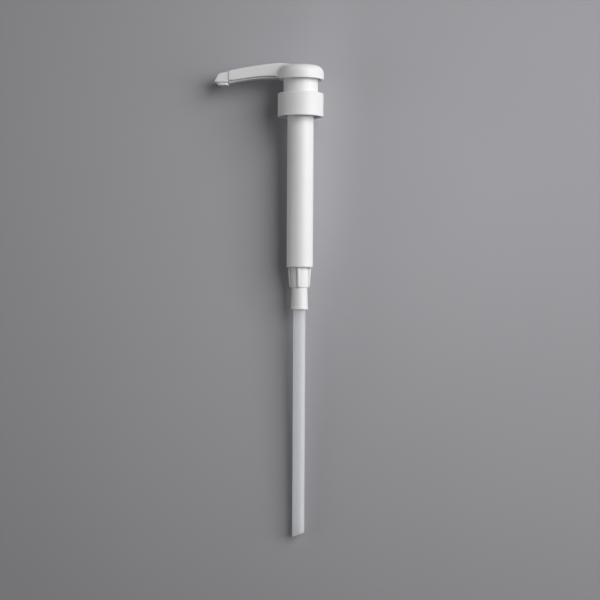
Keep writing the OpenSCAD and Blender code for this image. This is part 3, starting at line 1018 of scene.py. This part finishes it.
    def build(self) -> None:
        """Make and place the pieces of the head."""
        white = self.shop.white
        made = (
            ("head_moulding", "actuator_head", self.moulding, self.moulding_grid),
            ("delivery_tube", "spout_tube", self.tube, self.tube_grid),
            ("nozzle", "nozzle_tip", self.tip, self.tip_grid),
        )
        room = Vector((self.search_room,) * 3)
        for name, node, shape, steps in made:
            skin = skin_of(shape, low(node) - room, high(node) + room, steps)
            self.shop.place(new_piece(name, *skin, white), Body.HEAD, node)
        stop_top = self.stop_low + self.stop_thick
        seat = self.chamber_r - self.throat_r
        stem = self.shop.turn("hollow_stem", (
            (self.stem_bore, self.stem_low, SMALL), (self.spigot_r, self.stem_low, SMALL),
            (self.spigot_r, self.stop_low, SMALL), (self.stop_r, self.stop_low, MILD),
            (self.stop_r, stop_top, MILD), (self.stem_r, stop_top, SOFT), (self.stem_r, self.stem_top, FULL),
            (self.chamber_r, self.stem_top, FINE), (self.throat_r, self.stem_top - seat, FINE),
            (self.throat_r, self.stem_top - 2.0 * seat, SMALL),
            (self.stem_bore, self.stem_top - 3.0 * seat, SMALL)), self.stem_sides)
        self.shop.place(stem, Body.HEAD, "piston_stem")


@dataclass
class Closure:
    """The screw cap with its neck thread, in mm."""

    shop: Shop
    out_r: float = high("screw_cap").x
    bore_r: float = 13.9
    hole_r: float = 9.3
    foot: float = low("screw_cap").z
    ceiling: float = 2.9
    top: float = high("screw_cap").z
    top_edge: float = 0.6
    low_edge: float = 0.45
    sides: int = 192
    thread_turns: float = 2.4
    thread_pitch: float = 3.2
    thread_foot: float = -9.2
    thread_deep: float = 0.9
    thread_half: float = 0.75
    thread_fade: float = 0.25
    thread_points: int = 260
    thread_sides: int = 16

    def build(self) -> None:
        """Make and place the cap."""
        cap = self.shop.turn("cap_shell", (
            (self.bore_r, self.foot, SOFT), (self.out_r, self.foot, self.low_edge),
            (self.out_r, self.top, self.top_edge), (self.hole_r, self.top, SOFT),
            (self.hole_r, self.ceiling, SMALL), (self.bore_r, self.ceiling, WIDE)), self.sides)
        self.shop.place(cap, Body.CLOSURE, "screw_cap")
        lengths = {
            "Radius": self.bore_r, "Foot": self.thread_foot, "End Pitch": self.thread_pitch,
            "Pitch": self.thread_pitch, "Half Depth": self.thread_deep, "Half Height": self.thread_half}
        thread = self.shop.helix.grow("neck_thread", self.shop.white, lengths, {
            "Turns": self.thread_turns, "Run Out": self.thread_fade, "Points": self.thread_points,
            "Sides": self.thread_sides})
        self.shop.place(thread, Body.CLOSURE)


@dataclass
class Housing:
    """What stays with the bottle: barrel, collar, foot valve, tube and spring, in mm."""

    shop: Shop
    sides: int = 160
    barrel_r: float = 8.75
    bore_r: float = 7.5
    barrel_top: float = high("barrel").z
    barrel_low: float = low("barrel").z
    barrel_edge: float = 0.9
    seat_r: float = 8.95
    seat_low: float = -0.6
    flange_r: float = high("barrel").x
    flange_low: float = high("neck_gasket").z
    flange_top: float = 2.8
    bead_z: float = 5.8
    bead: float = 0.25
    vent_z: float = -4.0
    vent_r: float = 0.6
    vent_past: float = 1.0
    vent_sides: int = 24
    collar_r: float = high("lock_collar").x
    collar_low: float = high("screw_cap").z + 0.1
    collar_top: float = high("lock_collar").z
    lock_r: float = 9.9
    groove: float = 0.4
    groove_full: float = 1.8
    groove_top: float = 0.9
    groove_foot: float = 0.8
    groove_fade: float = 0.5
    groove_rows: int = 40
    groove_stretch: float = 1.0
    web_top: float = high("stem_wiper").z
    web_low: float = high("barrel").z
    grip_r: float = 8.8
    guide_r: float = 4.56
    guide_out: float = 6.06
    guide_low: float = low("lock_collar").z
    wiper_r: float = 6.4
    wiper_low: float = low("stem_wiper").z
    plug_top: float = high("foot_valve").z
    plug_r: float = 7.45
    plug_start: float = 0.1
    plug_rise: float = 0.4
    ball_r: float = high("inlet_ball").x
    ball_low: float = low("inlet_ball").z
    ball_room: float = 0.7
    ball_gap: float = 0.1
    inlet_r: float = 2.2
    core_r: float = 5.85
    core_low: float = -125.0
    foot_sides: int = 128
    socket_r: float = 5.2
    socket_low: float = low("foot_valve").z
    socket_bore: float = 4.05
    socket_top: float = -127.3
    mouth_r: float = 5.72
    mouth_high: float = 1.5
    neck_r: float = 5.55
    neck_high: float = 1.9
    fin_count: int = 4
    fin_thick: float = 1.4
    fin_top_r: float = high("foot_valve").x
    fin_low_r: float = 6.75
    fin_gap: float = 0.05
    fin_root: float = 0.8
    fin_corner: float = 1.3
    fin_edge_steps: int = 2
    tube_r: float = high("dip_tube").x
    tube_bore: float = 3.0
    tube_top: float = high("dip_tube").z
    tube_low: float = low("dip_tube").z
    tube_cut: float = 20.5
    tube_cut_zone: float = 0.6
    tube_sides: int = 96
    coil_r: float = 6.1
    wire: float = 0.6
    wire_points: int = 900
    wire_sides: int = 14
    wire_fade: float = 0.001
    coils: int = 12
    coil_low: float = high("ball_cage").z + 0.7
    coil_top: float = low("piston").z - 2.8
    end_pitch: float = 1.3

    def build_barrel(self) -> None:
        """Make and place the pump barrel with its vent."""
        barrel = self.shop.turn("pump_barrel", (
            (self.bore_r, self.barrel_low, SOFT), (self.barrel_r, self.barrel_low, self.barrel_edge),
            (self.barrel_r, self.seat_low, SHARP), (self.seat_r, self.seat_low, SHARP),
            (self.seat_r, self.flange_low, SHARP), (self.flange_r, self.flange_low, SMALL),
            (self.flange_r, self.flange_top, SMALL), (self.barrel_r, self.flange_top, SMALL),
            (self.barrel_r, self.bead_z - self.bead, SHARP), (self.barrel_r + self.bead, self.bead_z, FINE),
            (self.barrel_r, self.bead_z + self.bead, SHARP), (self.barrel_r, self.barrel_top, MILD),
            (self.bore_r, self.barrel_top, MILD)), self.sides)
        count = self.vent_sides
        angle = (np.arange(count) + 0.5) * FULL_TURN / count
        across, up = self.vent_r * np.cos(angle), self.vent_z + self.vent_r * np.sin(angle)
        reaches = (self.bore_r - self.vent_past, self.barrel_r + self.vent_past)
        ends = [np.stack([np.full(count, reach), across, up], axis=1) for reach in reaches]
        walls = [[k, (k + 1) % count, count + (k + 1) % count, count + k] for k in range(count)]
        take_out(barrel, np.concatenate(ends), walls + [list(range(count)), list(range(count, 2 * count))])
        self.shop.place(barrel, Body.HOUSING, "barrel")

    def build_collar(self) -> None:
        """Make and place the lock collar with its inner thread."""
        profile = rounded((
            (self.guide_r, self.guide_low, SOFT), (self.guide_out, self.guide_low, SOFT),
            (self.guide_out, self.web_low, SOFT), (self.grip_r, self.web_low, SMALL),
            (self.grip_r, self.collar_low, SMALL), (self.collar_r, self.collar_low, SOFT),
            (self.collar_r, self.collar_top, BROAD), (self.lock_r, self.collar_top, BROAD),
            (self.lock_r, self.web_top, SOFT), (self.wiper_r, self.web_top, FINE),
            (self.wiper_r, self.wiper_low, FINE), (self.guide_r, self.wiper_low, FINE)))
        dense: list[Grid] = []
        for here, after in zip(profile, np.roll(profile, -1, axis=0)):
            on_wall = max(abs(here[0] - self.lock_r), abs(after[0] - self.lock_r)) < SAME_RADIUS
            count = self.groove_rows if on_wall and abs(after[1] - here[1]) > self.groove_stretch else 1
            dense.extend(here + (after - here) * s / count for s in range(count))
        verts, faces = turned(np.array(dense), self.sides)
        rr = np.hypot(verts[:, 0], verts[:, 1])
        wall = np.abs(rr - self.lock_r) < SAME_RADIUS
        ends = np.clip((self.collar_top - self.groove_top - verts[:, 2]) / self.groove_fade, 0.0, 1.0)
        ends = ends * np.clip((verts[:, 2] - self.web_top - self.groove_foot) / self.groove_fade, 0.0, 1.0)
        groove = self.groove * thread_wave(verts.T, self.groove_full) * ends * wall
        verts[:, :2] *= (1.0 + groove / rr)[:, None]
        collar = new_piece("threaded_collar", verts, faces, self.shop.white)
        self.shop.place(collar, Body.HOUSING, "lock_collar")

    def build_foot(self) -> None:
        """Make and place the foot valve with its fins."""
        ball_z = self.ball_low + self.ball_r
        seat_low = ball_z - self.ball_gap - self.ball_r * math.sqrt(2.0) + self.inlet_r
        chamber_r = self.ball_r + self.ball_room
        core = self.shop.turn("foot_core", (
            (self.inlet_r, seat_low, FINE), (self.inlet_r, self.socket_top, FINE),
            (self.socket_bore, self.socket_top, FINE), (self.socket_bore, self.socket_low, FULL),
            (self.mouth_r, self.socket_low, SOFT), (self.mouth_r, self.socket_low + self.mouth_high, FINE),
            (self.neck_r, self.socket_low + self.neck_high, FINE), (self.socket_r, self.core_low, THIN),
            (self.core_r, self.core_low, MILD), (self.core_r, self.barrel_low - self.plug_start, SHARP),
            (self.plug_r, self.barrel_low + self.plug_rise, SHARP), (self.plug_r, self.plug_top, SOFT),
            (chamber_r, self.plug_top, SMALL), (chamber_r, seat_low + chamber_r - self.inlet_r, FINE)),
            self.foot_sides)
        self.shop.place(core, Body.HOUSING, "foot_valve")
        lengths = {
            "Top": self.barrel_low - self.fin_gap, "Low": self.core_low, "Root": self.core_r - self.fin_root,
            "Top Reach": self.fin_top_r, "Low Reach": self.fin_low_r, "Thickness": self.fin_thick,
            "Corner": self.fin_corner}
        ribs = self.shop.fins.grow(
            "foot_fins", self.shop.white, lengths, {"Count": self.fin_count})
        edge = ribs.modifiers.new("edge", "BEVEL")
        edge.width = THIN * MM
        edge.segments = self.fin_edge_steps
        edge.limit_method = "ANGLE"
        plain_mesh(ribs)
        self.shop.place(ribs, Body.HOUSING)

    def build_dip_tube(self) -> None:
        """Make and place the dip tube with its slanted end."""
        profile = rounded((
            (self.tube_bore, self.tube_low, FINE), (self.tube_r, self.tube_low, FINE),
            (self.tube_r, self.tube_top, THIN), (self.tube_bore, self.tube_top, THIN)))
        verts, faces = turned(profile, self.tube_sides)
        slant = verts[:, 2] < self.tube_low + self.tube_cut_zone
        rise = (verts[:, 0] + self.tube_r) * math.tan(math.radians(self.tube_cut))
        verts[:, 2] += np.where(slant, rise, 0.0)
        tube = new_piece("clear_dip_tube", verts, faces, self.shop.finishes[Slot.TUBE])
        self.shop.place(tube, Body.HOUSING, "dip_tube", slot=Slot.TUBE)

    def build_spring(self) -> None:
        """Make the return spring, which stretches between barrel and piston."""
        pitch = (self.coil_top - self.coil_low - 2.0 * self.end_pitch) / (self.coils - 2)
        lengths = {
            "Radius": self.coil_r, "Foot": self.coil_low, "End Pitch": self.end_pitch, "Pitch": pitch,
            "Half Depth": self.wire, "Half Height": self.wire}
        spring = self.shop.helix.grow("wire_spring", self.shop.finishes[Slot.STEEL], lengths, {
            "Turns": float(self.coils), "Run Out": self.wire_fade, "Points": self.wire_points,
            "Sides": self.wire_sides})
        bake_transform(spring)
        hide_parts("return_spring")
        LOG.info("wire_spring stretches between housing and seal")

    def build(self) -> None:
        """Make and place the pieces of the housing."""
        self.build_barrel()
        self.build_collar()
        self.build_foot()
        self.build_dip_tube()
        self.build_spring()


@dataclass
class Inner:
    """CAD pieces inside the pump that keep their own form."""

    shop: Shop
    dress_as: dict[str, Slot] = field(default_factory=lambda: {
        "piston": Slot.NATURAL, "ball_cage": Slot.NATURAL, "piston_retainer": Slot.WHITE,
        "stem_wiper": Slot.RUBBER, "neck_gasket": Slot.RUBBER, "outlet_ball": Slot.STEEL,
        "inlet_ball": Slot.STEEL})

    def dress(self) -> None:
        """Give the CAD pieces their materials."""
        for node, slot in self.dress_as.items():
            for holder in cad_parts[node].material_slots:
                holder.material = self.shop.finishes[slot]
            LOG.info("%s keeps its form", node)


# The picture


@dataclass(frozen=True)
class Lamp:
    """A soft lamp with a flat face, in metres and watts."""

    name: str
    spot: Triple
    wide: float
    tall: float
    power: float

    def hang(self, stage: Matrix, aim: Vector) -> None:
        """Hang the lamp.

        Args:
            stage: Turn of the stage round the pump.
            aim: Place that the lamp looks at.
        """
        lamp = bpy.data.lights.new(self.name, "AREA")
        lamp.shape = "RECTANGLE"
        lamp.size = self.wide
        lamp.size_y = self.tall
        lamp.energy = self.power
        holder = linked(self.name, lamp)
        holder.location = stage @ Vector(self.spot)
        holder.rotation_euler = (aim - holder.location).to_track_quat("-Z", "Y").to_euler()


@dataclass
class Studio:
    """Board, lights and camera of the picture, in metres and degrees."""

    turn: float = 6.0
    board_y: float = 0.01535
    board_z: float = -0.0111
    board_lean: float = 0.0402
    board_size: float = 3.0
    board_colour: Triple = (0.368, 0.363, 0.385)
    board_rough: float = 0.85
    cloud_scale: float = 7.0
    cloud_depth: float = 0.03
    # Painted pool of light on the board: its colour is full at this spot and dims out to the far distance,
    # standing in for lamp light falling off.
    painted_light_spot: Triple = (0.068, 0.0158, -0.052)
    painted_light_near: float = 0.05
    painted_light_far: float = 0.37
    painted_light_far_tone: float = 0.72
    # Painted bounce light on the board: a tall soft patch beside the pump is brightened, standing in for
    # light thrown back by the pump's lit side.
    painted_bounce_spot: Triple = (0.016, 0.0, -0.04)
    painted_bounce_wide: float = 0.035
    painted_bounce_tall: float = 0.2
    painted_bounce_tone: float = 1.13
    camera_spot: Triple = (0.00034, -1.08, -0.1333)
    lens: float = 96.95
    roll: float = 0.34
    ambient: float = 0.07
    lamps: tuple[Lamp, ...] = (
        Lamp("key", (1.0, -1.03, 0.45), 1.3, 1.2, 25.3),
        Lamp("side", (1.43, -0.42, -0.13), 0.6, 0.6, 4.3),
        Lamp("bounce", (-1.38, -0.5, -0.25), 0.7, 0.7, 4.2),
    )

    def board_finish(self) -> Material:
        """Build the board's material: painted light that dims away from a spot, a painted patch of bounced
        light beside the pump, and open to the eye from its back.

        Returns:
            The material.
        """
        material, bench, shader, output = new_material("board")
        spot = bench.flow("ShaderNodeTexCoord", out="Object")
        cloud = bench.flow("ShaderNodeTexNoise", {"Vector": spot, "Scale": self.cloud_scale}, "Fac")
        dark, light = ((*(part * tone for part in self.board_colour), 1.0)
                       for tone in (1.0 - self.cloud_depth, 1.0 + self.cloud_depth))
        feeds = {"Factor": cloud, "A": dark, "B": light}
        tone = bench.flow("ShaderNodeMix", feeds, "Result", data_type="RGBA")
        # Painted light falloff: the board's colour darkens with distance from the lit spot.
        away = bench.vector_calc("DISTANCE", {0: spot, 1: self.painted_light_spot}, "Value")
        painted_light_falloff = bench.flow("ShaderNodeMapRange", {
            "Value": away, "From Min": self.painted_light_near, "From Max": self.painted_light_far, "To Min": 1.0,
            "To Max": self.painted_light_far_tone})
        # Painted bounce light: the board's colour is brightened in a soft patch beside the pump.
        aside = bench.vector_calc("SUBTRACT", {0: spot, 1: self.painted_bounce_spot})
        shrink = (1.0 / self.painted_bounce_wide, 0.0, 1.0 / self.painted_bounce_tall)
        shrunk = bench.vector_calc("MULTIPLY", {0: aside, 1: shrink})
        share = bench.vector_calc("LENGTH", {0: shrunk}, "Value")
        painted_bounce_patch = bench.flow("ShaderNodeMapRange", {"Value": share, "To Min": self.painted_bounce_tone, "To Max": 1.0},
                           interpolation_type="SMOOTHSTEP")
        # Board colour with the painted light falloff and the painted bounce light.
        shade = bench.vector_calc("SCALE", {0: tone, "Scale": bench.calc("MULTIPLY", painted_light_falloff, painted_bounce_patch)})
        bench.feed(shader, {"Base Color": shade, "Roughness": self.board_rough})
        back = bench.flow("ShaderNodeNewGeometry", out="Backfacing")
        bare = bench.flow("ShaderNodeBsdfTransparent")
        mix = bench.flow("ShaderNodeMixShader", {0: back, 1: shader.outputs[0], 2: bare})
        bench.feed(output, {"Surface": mix})
        return material

    def lay_board(self) -> None:
        """Lay the board behind the pump."""
        half = self.board_size / 2.0
        foot, head = (self.board_y + self.board_lean * (z - self.board_z) for z in (-half, half))
        spots = [(-half, foot, -half), (half, foot, -half), (half, head, half), (-half, head, half)]
        mesh = bpy.data.meshes.new("board")
        mesh.from_pydata(spots, [], [(0, 1, 2, 3)])
        mesh.materials.append(self.board_finish())
        board = linked("board", mesh)
        board.rotation_euler.z = math.radians(self.turn)

    def set_lights(self, stage: Matrix) -> None:
        """Set a wide soft lamp, two weak ones across the board and an even surround.

        Args:
            stage: Turn of the stage round the pump.
        """
        for lamp in self.lamps:
            lamp.hang(stage, Vector((0.0, 0.0, self.camera_spot[2])))
        world = bpy.data.worlds.new("surround")
        world.use_nodes = True
        tree = world.node_tree
        white = (1.0, 1.0, 1.0, 1.0)
        Bench(tree).feed(tree.nodes["Background"], {"Color": white, "Strength": self.ambient})
        bpy.context.scene.world = world

    def set_camera(self, stage: Matrix) -> None:
        """Set the camera level, at the height of the pump's middle.

        Args:
            stage: Turn of the stage round the pump.
        """
        view = bpy.data.cameras.new("camera")
        view.lens = self.lens
        camera = linked("camera", view)
        upright = Matrix.Rotation(math.radians(90.0), 4, "X")
        rolled = Matrix.Rotation(math.radians(self.roll), 4, "Z")
        camera.matrix_world = stage @ Matrix.Translation(self.camera_spot) @ upright @ rolled
        bpy.context.scene.camera = camera
        bpy.context.scene.view_settings.view_transform = "Standard"

    def build(self) -> None:
        """Set the board, the lights and the camera."""
        stage = Matrix.Rotation(math.radians(self.turn), 4, "Z")
        self.lay_board()
        self.set_lights(stage)
        self.set_camera(stage)


def main() -> None:
    """Build the pump's looks and its picture."""
    logging.basicConfig(level=logging.INFO, format="%(name)s: %(message)s")
    group = skin_group()
    shop = Shop({finish.slot: finish.make(group) for finish in FINISHES}, helix_rule(), fin_rule())
    for assembly in (Housing(shop), Closure(shop), Head(shop)):
        assembly.build()
    Inner(shop).dress()
    Studio().build()


if __name__ == "__main__":
    main()
